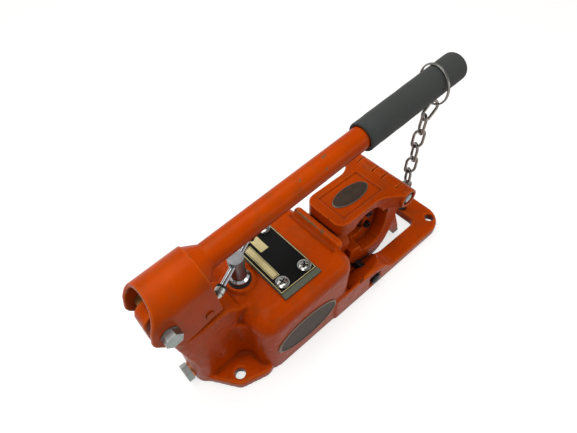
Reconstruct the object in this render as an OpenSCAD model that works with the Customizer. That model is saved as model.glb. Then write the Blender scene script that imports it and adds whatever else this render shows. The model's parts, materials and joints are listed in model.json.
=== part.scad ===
// Hand-pumped hydraulic wire rope cutter, in millimetres.
// +X runs from the pump end to the cutting head, +Z is up, Y = 0 is the plane of symmetry.
// The origin is on the ground, at the centre of the four mounting holes.

/* [Base] */
// Overall width of the base casting
base_w = 120; // [110:1:140]
// Distance along X between the rear and the front mounting holes
hole_span = 319; // [312:1:330]
// Distance from the centre plane to the rear mounting holes
rear_hole_y = 39; // [37:1:42]
// Distance from the centre plane to the front mounting holes
front_hole_y = 44; // [43:1:45]
// Diameter of the mounting holes
hole_d = 12; // [9:0.5:13]
// Thickness of the base bar
bar_t = 12.7; // [10:0.1:15]
// Width of the two side bars of the loop
bar_w = 25; // [22:1:27]
// Width of the bar across the front of the loop
nose_w = 32; // [30:1:36]
// Height of the side rails at the front of the housing
rail_h = 40; // [34:1:44]
// Radius of the outer corners of the loop
loop_r = 27; // [20:1:28]

/* [Housing] */
// Length of the main housing along X
housing_l = 130; // [124:1:136]
// Height of the housing top above the ground
housing_h = 96.5; // [95:0.5:100]
// Half width of the pump neck
neck_hw = 21; // [19:1:22]
// Height of the pump neck
neck_h = 108; // [104:1:109]
// Height of the ridge across the front of the top
ridge_h = 3.5; // [2:0.5:5]

/* [Cutting head] */
// Half width of the yoke
yoke_hw = 29; // [27:0.5:30]
// Clear length of the throat along X
throat_l = 44; // [40:1:46]
// Height of the throat floor above the ground
throat_floor = 50; // [48:1:51]
// Height of the gate top above the ground
gate_h = 113; // [111:1:115]
// Outer diameter of the hinge knuckles
knuckle_d = 24; // [20:1:25]
// Diameter of the hinge pin
hinge_pin_d = 12; // [9:0.5:13]
// Half width of the hinge over its outer knuckles
hinge_hw = 45; // [42:1:48]

/* [Ram] */
// Height of the ram axis above the ground
ram_z = 66; // [65:0.5:67]
// Diameter of the ram cylinder
ram_bore = 38; // [34:1:38]
// Diameter of the piston rod
rod_d = 26; // [22:1:27]
// Working stroke of the ram
ram_stroke = 32; // [28:1:34]

/* [Pump] */
// Diameter of the pump plunger
plunger_d = 16; // [12:1:18]
// Distance along X from the handle pivot to the plunger
lever_arm = 37; // [35:1:39]
// Diameter of the plunger cross pin
cross_pin_d = 8; // [7:0.5:9]

/* [Handle] */
// Distance from the rear mounting holes back to the handle pivot
pivot_back = 41.5; // [39:0.5:42]
// Height of the handle pivot above the ground
pivot_z = 147; // [145:1:149]
// Diameter of the pivot bolt
pivot_d = 9.5; // [8:0.1:11]
// Outer diameter of the handle tube
tube_d = 25.4; // [22:0.2:26.4]
// Wall of the handle tube
tube_wall = 2.6; // [1.6:0.2:4]
// Upward tilt of the stored handle
handle_tilt = 5.1; // [3:0.1:7]
// Distance from the pivot to the tip of the handle, along the handle
handle_reach = 405; // [396:1:416]
// Outer diameter of the foam grip
grip_d = 33; // [31:0.5:34]
// Outer diameter of the free end of the grip
grip_tip_d = 33.6; // [33.6:0.2:36]
// Length of the foam grip
grip_l = 153; // [120:1:170]

/* [Keeper chain] */
// Inner diameter of the keeper ring
ring_id = 42; // [41.5:0.5:50]
// Diameter of the ring wire
ring_wire = 2.2; // [1.8:0.1:2.6]
// Diameter of the chain wire
chain_wire = 3.4; // [2.6:0.1:3.6]
// Inner length of a chain link
chain_pitch = 20.4; // [20.3:0.1:22]
// Inner width of a chain link
link_iw = 9; // [7.6:0.2:10]

/* [Release valve] */
// Distance from the valve axis to either end of the T-bar
t_bar_half = 43; // [38:0.5:43]
// Diameter of the T-bar
t_bar_d = 6; // [4:0.5:7]
// Turn of the T-bar from the X axis
t_bar_turn = 27; // [20:1:32]

/* [Hidden] */
$fn = 64;
orange = [0.80, 0.24, 0.03];
steel = [0.62, 0.63, 0.64];
zinc = [0.70, 0.71, 0.68];
chrome = [0.82, 0.83, 0.85];
black = [0.07, 0.07, 0.08];
run_fit = 0.05;
hull_fn = 32;

// Places along X, all from the mounting holes and the housing
hole_x = hole_span / 2;
loop_front = hole_x + 12.5;
loop_in_front = loop_front - nose_w;
loop_in_rear = 58;
housing_x1 = -5;
housing_x0 = housing_x1 - housing_l;
housing_hw = base_w / 2 - 2;
top_r = 18;
rear_r = 22;
front_r = 24;
corner_r = 16;
neck_x0 = -196;
neck_flare = 7;
neck_r = 15;
neck_z_flare = 60;
valley_r = 14;
pivot_x = -hole_x - pivot_back;
ear_hw = 9;
ear_r = 14;
lug_r = 12;
rail_in = base_w / 2 - bar_w;
rail_in_h = 17.4;
rail_x1 = 80;
ridge_x0 = -14;
ridge_l = 10;
ridge_hw = 36;
groove_r = 6;
groove_depth = 2.5;

// Ram cylinder
bore_x0 = -90;
bore_r = ram_bore / 2;
nose_x0 = -30;
nose_x1 = 14;
nose_r = bore_r + 3;
collar_wall = 4;
gland_x = -10;
rod_r = rod_d / 2;
piston_l = 12;
rod_x1 = 18;
seal_w = 4;

// Throat, gate and hinge
throat_x0 = 24;
throat_x1 = throat_x0 + throat_l;
anvil_hw = 9;
anvil_depth = 6;
anvil_h = 42;
anvil_cheek = 3;
anvil_screw_z = [throat_floor + 4.5, throat_floor + 25];
anvil_screw_r = 3;
blade_hw = 5;
blade_z0 = throat_floor + 1.5;
blade_h = 36;
blade_tip = throat_x0 + 2;
blade_bite = 2;
anvil_x0 = blade_tip + ram_stroke - blade_bite;
anvil_x1 = throat_x1 + anvil_depth;
anvil_screw_x = anvil_x0 + 5.5;
shank_l = 9;
shank_h = 17;
blade_screw_r = 2.5;
pocket_y0 = anvil_hw + anvil_cheek;
pocket_in = 9;
pocket_z0 = 33;
sole_hw = 20;
sole_x0 = 31;
yoke_gap = 0.5;
web_x1 = nose_x1 + 4 - yoke_gap;
yoke_x1 = throat_x1 + 31;
hinge_x = throat_x1 + 23.5;
hinge_z = gate_h - 10.5;
knuckle_r = knuckle_d / 2;
mid_knuckle_hw = 7;
knuckle_gap = 0.5;
gate_hw = yoke_hw - 1;
gate_x0 = -2;
gate_under = ram_z + nose_r + collar_wall + 1;
arch_top = gate_under + 0.55 * (gate_h - gate_under);
panel_x0 = gate_x0 + 12;
panel_l = 63;
panel_hw = 20.5;
panel_depth = 1.5;
badge_t = 1.2;
gate_badge_hl = 26.5;
gate_badge_hw = 11.3;
side_badge_x = housing_x1 - housing_l / 2 - 7.5;
side_badge_z = 40;
side_badge_hl = 42;
side_badge_hw = 22.5;

// Reservoir cover
cover_x0 = -94.5;
cover_l = 48.5;
cover_hw = 44;
cover_t = 1.6;
gasket_t = 0.8;
plate_t = 0.8;
plate_in = 0.6;
plate_y0 = -37.5;
plate_y1 = cover_hw;
screw_in_x = 9.5;
screw_y = [plate_y0 + 9, plate_y1 - 7.5];
screw_head_d = 14.5;
screw_head_h = 3.6;
screw_d = 6;
screw_l = 14;

// Reservoir and oil passages
well_x0 = -106;
well_x1 = -94;
well_hw = 40;
well_z0 = 22;
duct_z = 13;
duct_r = 5;
small_duct_r = 3;
plug_washer_t = 1.5;
return_r = 2;
return_z = 40;
inlet_x = -110;
inlet_y = -6;
inlet_r = 4;
outlet_x = -152;
valve_x = -113;
valve_y = 5;
valve_bore_r = 5;
valve_seat_r = 3;
valve_seat_z = duct_z + 6;
spindle_r = 4.4;
boss_r = 15;
boss_h = 2.5;
valve_gasket_t = 1.5;
collar_z = housing_h + boss_h + valve_gasket_t;
bar_z = collar_z + 29.5;

// Pump
plunger_x = pivot_x + lever_arm;
plunger_r = plunger_d / 2;
cross_z = pivot_z - 16;
pump_bottom = 26;
plunger_z0 = pump_bottom + 6;
inlet_z = pump_bottom + 3;
gland_r = 13;
neck_top_x1 = plunger_x + gland_r + 6;
gland_h = 5;
slot_back = 1.2;
slot_ahead = 3.5;

// Handle, in a frame that turns about the pivot and leans back by the tilt
tube_r = tube_d / 2;
tube_h = 21;
bracket_hw = 24.5;
bracket_wall = 4;
crown = 6;
bracket_top = tube_h + tube_r + crown;
bracket_x1 = 48.5;
bracket_r = 24;
tube_x0 = 24;
grip_x0 = handle_reach - grip_l;
grip_r = grip_d / 2;
grip_tip_r = grip_tip_d / 2;
bolt_af = 15;
bolt_head = 7.5;
washer_t = 1.2;
washer_r = 8.4;
sleeve_wall = 2.5;

// Keeper ring and chain
ring_mid_r = ring_id / 2 + ring_wire / 2;
ring_at = 367.3;
ring_lean = 7;
ring_turn = -11.6;
ring_seat = grip_tip_r + 0.6;
link_r = link_iw / 2 + chain_wire / 2;
chain_y = -8;
chain_turn = [-22, 52, -36, 54, -36, 54, -36];
chain_route = [[161.8, 176.4], [147.9, 166.5], [145.4, 146.3], [144.3, 126.1], [143.2, 105.9],
  [142.5, 85.7], [142.1, 65.5], [142, 45.3]];
eye_x = 146;
eye_z = 33.5;
eye_r = 5.4;
eye_wire = 3.2;
eye_shank_r = 3;

// Side bolts
side_bolt_x = 32;
side_bolt_z = 16;
side_seat = 3;
side_head_d = 14;
side_head_h = 4.5;
side_dome_h = 2.2;
side_dome_r = 14;
side_shank_d = 10;

// Shapes that repeat

// A rectangle with round corners, from two squares and four discs
module round_rect(x0, x1, y0, y1, r) {
  translate([x0 + r, y0])
    square([x1 - x0 - 2 * r, y1 - y0]);
  translate([x0, y0 + r])
    square([x1 - x0, y1 - y0 - 2 * r]);
  for (x = [x0 + r, x1 - r])
    for (y = [y0 + r, y1 - r])
      translate([x, y])
        circle(r);
}

// A cylinder along X, from x0 to x1
module x_cyl(x0, x1, r, y = 0, z = 0) {
  translate([x0, y, z])
    rotate([0, 90, 0])
      cylinder(h = x1 - x0, r = r);
}

// A cylinder along Y, from y0 to y1
module y_cyl(y0, y1, r, x = 0, z = 0) {
  translate([x, y0, z])
    rotate([-90, 0, 0])
      cylinder(h = y1 - y0, r = r);
}

// A tube along X with its bore open at both ends
module x_ring(x0, x1, r_out, r_in, y = 0, z = 0) {
  difference() {
    x_cyl(x0, x1, r_out, y, z);
    x_cyl(x0 - 1, x1 + 1, r_in, y, z);
  }
}

// A profile in X and Z carried along Y, from y0 to y1
module xz_slab(y0, y1) {
  translate([0, y1, 0])
    rotate([90, 0, 0])
      linear_extrude(y1 - y0)
        children();
}

// A prism with six sides along Z, given across its flats
module hex_prism(af, h) {
  cylinder(h = h, r = af / sqrt(3), $fn = 6);
}

module both_sides() {
  children();
  mirror([0, 1, 0])
    children();
}

// Everything on the handle is drawn in the handle's own frame
module handle_frame() {
  translate([pivot_x, 0, pivot_z])
    rotate([0, -handle_tilt, 0])
      children();
}

module valve_frame() {
  translate([valve_x, valve_y, 0])
    rotate([0, 0, t_bar_turn])
      children();
}

// Points of a quadratic curve from a to c that is pulled towards b
function bend(a, b, c, n = 8) =
  [for (i = [0:n]) let (t = i / n) (1 - t) * (1 - t) * a + 2 * t * (1 - t) * b + t * t * c];

// Base, housing and neck, cast in one piece
module base_plan() {
  difference() {
    round_rect(housing_x1 - 40, loop_front, -base_w / 2, base_w / 2, loop_r);
    round_rect(loop_in_rear, loop_in_front, -rail_in, rail_in, 8);
    translate([web_x1, -sole_hw - yoke_gap])
      square([loop_in_rear - web_x1, 2 * (sole_hw + yoke_gap)]);
    translate([sole_x0, -yoke_hw - yoke_gap])
      square([loop_in_rear - sole_x0 + 10, 2 * (yoke_hw + yoke_gap)]);
  }
}

// A rail is high along its outer edge and falls away towards the yoke
module rail() {
  slope = concat(bend([20, rail_h - 3], [46, rail_h - 7], [54, 22]),
    bend([54, 22], [62, bar_t - 0.5], [rail_x1, bar_t - 0.5]));
  fall = atan((rail_h - rail_in_h) / bar_w);
  difference() {
    xz_slab(-base_w / 2, -rail_in)
      polygon(concat([[rail_x1, 0], [housing_x1 - 30, 0], [housing_x1 - 30, rail_h]], slope));
    translate([housing_x1 - 40, -base_w / 2, rail_h])
      rotate([-fall, 0, 0])
        cube([120, 60, 40]);
  }
}

module lug() {
  linear_extrude(bar_t)
    hull() {
      translate([-hole_x, -rear_hole_y])
        circle(lug_r, $fn = hull_fn);
      translate([neck_x0 + lug_r + 0.5, -neck_r / 3])
        circle(lug_r, $fn = hull_fn);
      translate([housing_x0, -housing_hw + lug_r])
        circle(lug_r, $fn = hull_fn);
    }
}

module housing_block() {
  hull()
    for (side = [-1, 1]) {
      translate([housing_x0 + corner_r, side * (housing_hw - corner_r), 0])
        cylinder(h = bar_t + 4, r = corner_r, $fn = hull_fn);
      translate([housing_x1 - front_r, side * (housing_hw - front_r), 0])
        cylinder(h = bar_t + 4, r = front_r, $fn = hull_fn);
      translate([housing_x1 - top_r, side * (housing_hw - top_r), housing_h - top_r])
        sphere(top_r, $fn = hull_fn);
      translate([housing_x0 + rear_r, side * (housing_hw - rear_r), housing_h - rear_r])
        sphere(rear_r, $fn = hull_fn);
    }
}

// The neck holds the pump. It flares backwards under the ear and slopes down to the housing.
module neck() {
  rear = neck_x0 - neck_flare;
  neck_x1 = housing_x0 + 30;
  linear_extrude(neck_z_flare)
    round_rect(neck_x0, neck_x1, -neck_hw, neck_hw, neck_r);
  intersection() {
    translate([0, 0, neck_z_flare - 20])
      linear_extrude(neck_h)
        round_rect(rear, neck_x1, -neck_hw, neck_hw, neck_r);
    xz_slab(-neck_hw, neck_hw)
      polygon(concat([[neck_x1, 30]],
        bend([neck_x0 + 5, neck_z_flare - 20], [neck_x0 - 1, 80], [rear, neck_h - 6]),
        [[rear, neck_h], [neck_top_x1, neck_h], [neck_top_x1 + 14, housing_h - 1],
        [neck_x1, housing_h - 1]]));
  }
}

// Round inner corner between the neck and the rear wall of the housing
module valley() {
  difference() {
    translate([housing_x0 - valley_r, -neck_hw - valley_r, 0])
      cube([valley_r + 2, valley_r + 2, housing_h - rear_r]);
    translate([housing_x0 - valley_r, -neck_hw - valley_r, -1])
      cylinder(h = housing_h, r = valley_r);
  }
}

module ear() {
  y_cyl(-ear_hw, ear_hw, ear_r, pivot_x, pivot_z);
  xz_slab(-ear_hw, ear_hw)
    polygon([[pivot_x - ear_r, pivot_z], [pivot_x - ear_r, neck_h + 14],
      [neck_x0 - neck_flare, neck_h - 6], [pivot_x + ear_r, neck_h - 6], [pivot_x + ear_r, pivot_z]]);
}

module ridge() {
  translate([0, 0, housing_h - 4])
    linear_extrude(4 + ridge_h)
      round_rect(ridge_x0, ridge_x0 + ridge_l, -ridge_hw, ridge_hw, ridge_l / 2 - 0.2);
}

module oil_ways() {
  x_cyl(bore_x0, nose_x0 + 1, bore_r, 0, ram_z);
  x_cyl(nose_x0, housing_x1 + 10, nose_r, 0, ram_z);
  x_cyl(neck_x0 - 1, housing_x0, duct_r, 0, duct_z);
  x_cyl(housing_x0 - 1, bore_x0 + 8, small_duct_r, 0, duct_z);
  translate([bore_x0 + 5, 0, duct_z])
    cylinder(h = ram_z - bore_r - duct_z + 3, r = small_duct_r);
  translate([plunger_x, 0, duct_z])
    cylinder(h = pump_bottom, r = small_duct_r);
  translate([plunger_x, 0, pump_bottom])
    cylinder(h = neck_h, r = plunger_r + run_fit);
  translate([plunger_x, 0, neck_h - 6])
    cylinder(h = 10, r = plunger_r + 3);
  x_cyl(inlet_x - 10, well_x0 + 1, inlet_r, inlet_y, inlet_z);
  x_cyl(plunger_x, inlet_x - 9, small_duct_r - 0.5, inlet_y, inlet_z);
  x_cyl(valve_x, well_x0 + 1, return_r, valve_y, return_z);
  translate([valve_x, valve_y, duct_z])
    cylinder(h = 10, r = valve_seat_r);
  translate([valve_x, valve_y, valve_seat_z])
    cylinder(h = housing_h, r = valve_bore_r);
  translate([well_x0, -well_hw, well_z0])
    cube([well_x1 - well_x0, 2 * well_hw, housing_h - 5 - well_z0]);
  translate([well_x0, -20, housing_h - 8])
    cube([36, 40, 4]);
  translate([cover_x0 + 6, -20, housing_h - 8])
    cube([cover_l - 12, 40, 12]);
  translate([cover_x0 + 15.5, -33, housing_h - 8])
    cube([cover_l - 31, 66, 12]);
}

module cover_holes(r, z0, h) {
  for (x = [cover_x0 + screw_in_x, cover_x0 + cover_l - screw_in_x])
    for (y = screw_y)
      translate([x, y, z0])
        cylinder(h = h, r = r);
}

module oval(half_l, half_w) {
  scale([half_l, half_w, 1])
    circle(1, $fn = 72);
}

module body_casting() {
  color(orange)
    difference() {
      union() {
        linear_extrude(bar_t)
          base_plan();
        both_sides()
          rail();
        both_sides()
          lug();
        housing_block();
        neck();
        both_sides()
          valley();
        ear();
        ridge();
        translate([valve_x, valve_y, housing_h - 10])
          cylinder(h = 10 + boss_h, r = boss_r);
      }
      oil_ways();
      y_cyl(-ridge_hw, ridge_hw, groove_r, ridge_x0 - 4, housing_h - groove_depth + groove_r);
      cover_holes(screw_d / 2, housing_h - screw_l + cover_t, 30);
      y_cyl(-ear_hw - 1, ear_hw + 1, pivot_d / 2 + sleeve_wall, pivot_x, pivot_z);
      for (y = [-1, 1]) {
        translate([-hole_x, y * rear_hole_y, -1])
          cylinder(h = bar_t + 20, r = hole_d / 2);
        translate([hole_x, y * front_hole_y, -1])
          cylinder(h = bar_t + 20, r = hole_d / 2);
      }
      translate([eye_x, chain_y, -1])
        cylinder(h = bar_t + 2, r = eye_shank_r);
      both_sides() {
        y_cyl(-base_w, -sole_hw + 1, side_shank_d / 2, side_bolt_x, side_bolt_z);
        translate([side_bolt_x - 10, -base_w / 2 - 1, side_bolt_z - 9])
          cube([19, 1 + side_seat, 18]);
      }
    }
}

// Steel sleeve screwed into the housing. It closes the ram cylinder and carries the yoke.
module cylinder_nose() {
  color(steel)
    difference() {
      x_cyl(nose_x0, nose_x1, nose_r, 0, ram_z);
      x_cyl(nose_x0 - 1, gland_x, bore_r, 0, ram_z);
      x_cyl(gland_x - 1, nose_x1 + 1, rod_r + run_fit, 0, ram_z);
      x_cyl(0, seal_w, rod_r + 3, 0, ram_z);
    }
}

// Round nut that locks the yoke on the sleeve
module lock_ring() {
  color(steel)
    difference() {
      x_cyl(housing_x1 + 0.2, 2, nose_r + collar_wall - 0.5, 0, ram_z);
      x_cyl(housing_x1 - 1, 3, nose_r, 0, ram_z);
      for (a = [20:60:320])
        translate([-1.5, 0, ram_z])
          rotate([a, 0, 0])
            translate([0, 0, nose_r + collar_wall])
              cube([8, 5, 4], center = true);
    }
}

module rod_seal() {
  color(black)
    x_ring(0, seal_w, rod_r + 3, rod_r + run_fit, 0, ram_z);
}

// Forged hook that carries the anvil and the hinge
module yoke_profile() {
  heel = [nose_x1 + 3, 34];
  sole = bend([20, 28], [34, 4], [62, 4]);
  toe = bend([62, 4], [yoke_x1 - 6, 8], [yoke_x1, 66]);
  inner = bend([throat_x1, gate_under], [throat_x1, throat_floor - 1], [throat_x1 - 20, throat_floor - 5]);
  polygon(concat([heel], sole, toe, [[yoke_x1, hinge_z - 13], [throat_x1, hinge_z - 13]], inner,
    [[throat_x0 + 2, throat_floor], [throat_x0 - 4, throat_floor]]));
}

module yoke() {
  color(orange)
    difference() {
      union() {
        xz_slab(-yoke_hw, yoke_hw)
          yoke_profile();
        x_cyl(2.2, nose_x1 + 4, nose_r + collar_wall, 0, ram_z);
        translate([nose_x1 - 2, -sole_hw, 20])
          cube([24, 2 * sole_hw, throat_floor - 22]);
        translate([nose_x1 + 4, -sole_hw, 3])
          cube([48, 2 * sole_hw, 22]);
        both_sides()
          hinge_lug();
        both_sides()
          front_rib();
        both_sides()
          translate([anvil_x0 + 1, -pocket_y0, throat_floor - 4])
            cube([anvil_x1 - anvil_x0 - 1, anvil_cheek, 34]);
      }
      x_cyl(0, nose_x1 + 0.1, nose_r, 0, ram_z);
      x_cyl(nose_x1, throat_x0 + 8, rod_r + 2, 0, ram_z);
      translate([nose_x1 + 3.5, -yoke_hw - 1, throat_floor])
        cube([throat_x0 - nose_x1, 2 * yoke_hw + 2, 60]);
      y_cyl(-yoke_hw - 1, yoke_hw + 1, hinge_pin_d / 2 + run_fit, hinge_x, hinge_z);
      translate([anvil_x0 - 0.5, -anvil_hw, throat_floor - 4])
        cube([anvil_x1 - anvil_x0 + 0.5, 2 * anvil_hw, anvil_h]);
      for (z = anvil_screw_z)
        y_cyl(-pocket_y0 - 1, -anvil_hw + 1, anvil_screw_r, anvil_screw_x, z);
      both_sides()
        xz_slab(-yoke_hw - 1, -pocket_y0)
          pocket_profile();
      both_sides()
        y_cyl(-yoke_hw - 1, -8, side_shank_d / 2, side_bolt_x, side_bolt_z);
    }
}

// Hollow on each side of the web that carries the anvil, open to the side
module pocket_profile() {
  rim = throat_x1 + pocket_in;
  curve = bend([rim, gate_under - 9], [rim + 7, pocket_z0 - 16], [throat_x1 - 24, pocket_z0]);
  polygon(concat([[throat_x0 + 12, throat_floor + 1], [throat_x1 - 6, gate_under - 6]], curve,
    [[throat_x0 + 12, pocket_z0 + 7]]));
}

module hinge_lug() {
  y_cyl(-yoke_hw, -mid_knuckle_hw - knuckle_gap, knuckle_r, hinge_x, hinge_z);
  translate([throat_x1, -yoke_hw, hinge_z - 16])
    cube([yoke_x1 - throat_x1, yoke_hw - mid_knuckle_hw - knuckle_gap, 10]);
}

// Foot of the yoke, in front of the column and set in from its side
module front_rib() {
  xz_slab(-yoke_hw + 4, -yoke_hw + 13)
    polygon([[yoke_x1 - 18, 30], [yoke_x1 - 2, 66], [yoke_x1 + 7, 44], [yoke_x1 + 17, 17],
      [yoke_x1 + 21, 2], [yoke_x1 + 11, 2], [yoke_x1 + 4, 15], [yoke_x1 - 8, 24]]);
}

// Ram: piston and rod in one piece
module ram() {
  color(steel)
    difference() {
      union() {
        x_cyl(bore_x0 + 0.5, bore_x0 + 0.5 + piston_l, bore_r - run_fit, 0, ram_z);
        x_cyl(bore_x0 + 2, rod_x1, rod_r, 0, ram_z);
      }
      x_ring(bore_x0 + 4.5, bore_x0 + 4.5 + seal_w, bore_r + 1, bore_r - 3, 0, ram_z);
      translate([rod_x1 - shank_l, -blade_hw, ram_z - shank_h / 2])
        cube([shank_l + 1, 2 * blade_hw, shank_h]);
      blade_screw_holes();
    }
}

module piston_seal() {
  color(black)
    x_ring(bore_x0 + 4.5, bore_x0 + 4.5 + seal_w, bore_r - run_fit, bore_r - 3, 0, ram_z);
}

// Return spring, hidden in the cylinder, drawn as the sleeve that its coils fill
module return_spring() {
  color(steel)
    x_ring(bore_x0 + 0.5 + piston_l, gland_x, rod_r + 4.5, rod_r + 1, 0, ram_z);
}

// Blade with a shank that sits in the end of the rod
module blade() {
  color(steel)
    difference() {
      union() {
        translate([0, 0, blade_z0])
          linear_extrude(blade_h)
            polygon([[rod_x1 + 0.5, -blade_hw], [blade_tip - 3, -blade_hw], [blade_tip, 0],
              [blade_tip - 3, blade_hw], [rod_x1 + 0.5, blade_hw]]);
        translate([rod_x1 - shank_l, -blade_hw, ram_z - shank_h / 2])
          cube([shank_l + 1, 2 * blade_hw, shank_h]);
      }
      blade_screw_holes();
    }
}

module blade_screw_holes() {
  for (z = [ram_z - 4.5, ram_z + 4.5])
    y_cyl(-rod_r - 1, blade_hw, blade_screw_r, rod_x1 - shank_l / 2, z);
}

module blade_screws() {
  color(black)
    for (z = [ram_z - 4.5, ram_z + 4.5])
      difference() {
        y_cyl(-rod_r + 2.5, blade_hw, blade_screw_r, rod_x1 - shank_l / 2, z);
        translate([rod_x1 - shank_l / 2, -rod_r + 4.5, z])
          rotate([90, 0, 0])
            hex_prism(2.5, 4);
      }
}

// Hardened anvil with a V groove that takes the blade
module anvil() {
  groove_hw = blade_hw + 1.5;
  color(steel)
    difference() {
      translate([anvil_x0, -anvil_hw, throat_floor - 4])
        cube([anvil_x1 - anvil_x0, 2 * anvil_hw, anvil_h]);
      translate([0, 0, throat_floor - 5])
        linear_extrude(anvil_h + 2)
          polygon([[anvil_x0 - 1, -groove_hw], [anvil_x0 + blade_bite + 1.2, 0],
            [anvil_x0 - 1, groove_hw]]);
      for (z = anvil_screw_z)
        y_cyl(-anvil_hw - 1, -anvil_hw + 7, anvil_screw_r, anvil_screw_x, z);
    }
}

// Cap screws that hold the anvil between its cheeks
module anvil_screws() {
  head_r = anvil_screw_r * 1.5;
  color(black)
    for (z = anvil_screw_z)
      difference() {
        union() {
          y_cyl(-pocket_y0, -anvil_hw + 7, anvil_screw_r, anvil_screw_x, z);
          y_cyl(-pocket_y0 - 5, -pocket_y0, head_r, anvil_screw_x, z);
        }
        translate([anvil_screw_x, -pocket_y0 - 2.5, z])
          rotate([90, 0, 0])
            hex_prism(anvil_screw_r * 1.6, 4);
      }
}

// Hinged gate over the throat
module gate_plan() {
  r = 12;
  flare = bend([54, gate_hw], [66, gate_hw], [hinge_x - 8, hinge_hw]);
  both_sides()
    polygon(concat([[gate_x0 + r, 0], [gate_x0 + r, gate_hw]], flare,
      [[hinge_x, hinge_hw], [hinge_x, 0]]));
  round_rect(gate_x0, gate_x0 + 50, -gate_hw, gate_hw, r);
}

module gate_side() {
  arch = concat(bend([throat_x0 - 4, gate_under], [throat_x0 + 4, arch_top], [throat_x0 + 18, arch_top]),
    bend([throat_x0 + 18, arch_top], [throat_x1 - 8, arch_top], [throat_x1 - 4, gate_under]));
  polygon(concat([[gate_x0 - 1, gate_h], [gate_x0 - 1, gate_under]], arch,
    [[hinge_x + 1, gate_under], [hinge_x + 1, gate_h]]));
}

module knuckle_gaps(g) {
  both_sides()
    y_cyl(-yoke_hw - g, -mid_knuckle_hw, knuckle_r + g, hinge_x, hinge_z);
  both_sides()
    translate([throat_x1 - 1, -yoke_hw - g, 0])
      cube([60, yoke_hw + g - mid_knuckle_hw, hinge_z - 5]);
}

module gate() {
  color(orange)
    difference() {
      union() {
        intersection() {
          linear_extrude(gate_h)
            gate_plan();
          xz_slab(-hinge_hw - 1, hinge_hw + 1)
            gate_side();
        }
        y_cyl(-hinge_hw, hinge_hw, knuckle_r, hinge_x, hinge_z);
      }
      knuckle_gaps(knuckle_gap);
      translate([throat_x1 - 1, -mid_knuckle_hw - 1, 0])
        cube([40, 2 * mid_knuckle_hw + 2, hinge_z - knuckle_r]);
      y_cyl(-hinge_hw - 1, hinge_hw + 1, hinge_pin_d / 2, hinge_x, hinge_z);
      both_sides()
        y_cyl(-hinge_hw - 1, -hinge_hw + 3, hinge_pin_d / 2 + 2.5, hinge_x, hinge_z);
      translate([0, 0, gate_h - panel_depth])
        linear_extrude(5)
          round_rect(panel_x0, panel_x0 + panel_l, -panel_hw, panel_hw, 3);
    }
}

module gate_badge() {
  color([0.24, 0.25, 0.25])
    translate([panel_x0 + panel_l / 2, 0, gate_h - panel_depth])
      linear_extrude(badge_t)
        oval(gate_badge_hl, gate_badge_hw);
}

module hinge_pin() {
  color(steel)
    y_cyl(-hinge_hw + 1, hinge_hw - 1, hinge_pin_d / 2, hinge_x, hinge_z);
}

// Domed bolts that clamp the yoke between the rails
module side_bolts() {
  seat = -base_w / 2 + side_seat;
  top = seat - side_head_h;
  color(black)
    both_sides() {
      y_cyl(seat, -8, side_shank_d / 2, side_bolt_x, side_bolt_z);
      y_cyl(top, seat, side_head_d / 2, side_bolt_x, side_bolt_z);
      intersection() {
        translate([side_bolt_x, top - side_dome_h + side_dome_r, side_bolt_z])
          sphere(side_dome_r);
        y_cyl(top - side_dome_h, top, side_head_d / 2, side_bolt_x, side_bolt_z);
      }
    }
}

module side_badges() {
  color([0.24, 0.25, 0.25])
    both_sides()
      translate([side_badge_x, -housing_hw, side_badge_z])
        rotate([90, 0, 0])
          linear_extrude(badge_t)
            oval(side_badge_hl, side_badge_hw);
}

// Reservoir cover with its gasket, plate and screws
module cover_gasket() {
  color(black)
    difference() {
      translate([cover_x0, -cover_hw, housing_h])
        cube([cover_l, 2 * cover_hw, gasket_t]);
      translate([cover_x0 + 6, -20, housing_h - 1])
        cube([cover_l - 12, 40, 12]);
      cover_holes(screw_d / 2, housing_h - 1, 12);
    }
}

module reservoir_cover() {
  color([0.30, 0.31, 0.25])
    difference() {
      translate([cover_x0, -cover_hw, housing_h + gasket_t])
        cube([cover_l, 2 * cover_hw, cover_t]);
      cover_holes(screw_d / 2, housing_h - 1, 12);
    }
}

module nameplate() {
  color(black)
    difference() {
      translate([cover_x0 + plate_in, plate_y0, housing_h + gasket_t + cover_t])
        cube([cover_l - 2 * plate_in, plate_y1 - plate_y0, plate_t]);
      cover_holes(screw_d / 2, housing_h - 1, 12);
    }
}

module cover_screws() {
  z = housing_h + gasket_t + cover_t + plate_t;
  color(zinc)
    difference() {
      union() {
        cover_holes(screw_d / 2, z - screw_l, screw_l);
        cover_holes(screw_head_d / 2, z, screw_head_h * 0.6);
        cover_holes(screw_head_d / 2 - 1.6, z, screw_head_h);
      }
      for (x = [cover_x0 + screw_in_x, cover_x0 + cover_l - screw_in_x])
        for (y = screw_y)
          for (a = [20, 110])
            translate([x, y, z + screw_head_h])
              rotate([0, 0, a])
                cube([8, 1.6, 4], center = true);
    }
}

module reservoir_bladder() {
  color(black)
    translate([well_x0 + 1.5, -well_hw + 2, well_z0])
      cube([well_x1 - well_x0 - 3, 2 * well_hw - 4, housing_h - 12 - well_z0]);
}

// Release valve
module valve_gasket() {
  color(black)
    translate([valve_x, valve_y, housing_h + boss_h])
      difference() {
        cylinder(h = valve_gasket_t, r = 12);
        translate([0, 0, -1])
          cylinder(h = 4, r = valve_bore_r);
      }
}

module valve_collar() {
  color(chrome)
    translate([valve_x, valve_y, 0])
      difference() {
        union() {
          translate([0, 0, collar_z])
            cylinder(h = 4.5, r = 10.5);
          translate([0, 0, collar_z + 4.5])
            cylinder(h = 2.5, r1 = 10.5, r2 = 8.5);
          translate([0, 0, housing_h - 14])
            cylinder(h = 14 + boss_h + valve_gasket_t, r = valve_bore_r);
        }
        translate([0, 0, housing_h - 15])
          cylinder(h = 40, r = spindle_r + run_fit);
      }
}

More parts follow.
